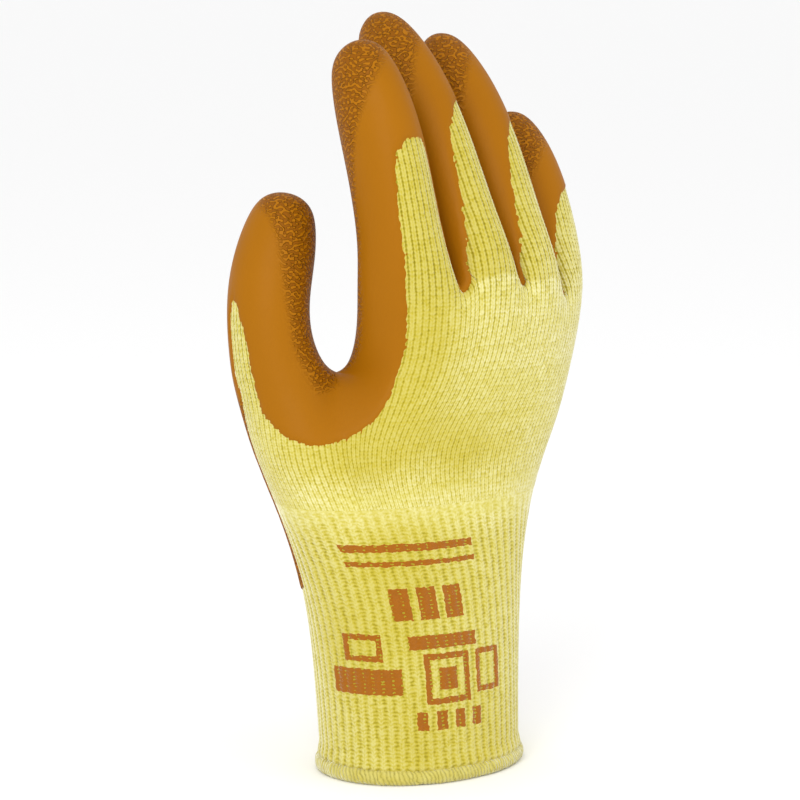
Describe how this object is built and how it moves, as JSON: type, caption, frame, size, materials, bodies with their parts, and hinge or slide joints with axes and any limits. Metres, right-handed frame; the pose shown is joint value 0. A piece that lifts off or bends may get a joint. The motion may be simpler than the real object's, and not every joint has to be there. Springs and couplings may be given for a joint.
{
  "type": "latex coated knit work glove",
  "caption": "Right-hand seamless knit work glove with an open wrist, ribbed cuff and rolled hem, its palm, thumb and fingertips coated in a skin of grippy latex.",
  "frame": {"origin": "middle of the wrist opening, in the plane of the hem's lower edge", "axes": "+Z from the wrist to the fingertips, +Y out of the palm (the back of the hand faces -Y), +X to the little finger's side (the thumb is at -X)"},
  "size_m": [0.1265, 0.065, 0.2427],
  "materials": {
    "knit": "matt pale yellow cotton and polyester knit",
    "cuff": "matt pale yellow ribbed knit",
    "hem": "matt, slightly fuzzy overlocked thread",
    "latex": "satin ochre natural latex, crinkled on the palm side"
  },
  "bodies": {
    "root": {"knit_palm": "knit", "knit_thumb": "knit", "knit_index": "knit", "knit_middle": "knit", "knit_ring": "knit", "knit_little": "knit", "rib_cuff": "cuff", "cuff_hem": "hem", "latex_coating": "latex"}
  },
  "joints": []
}
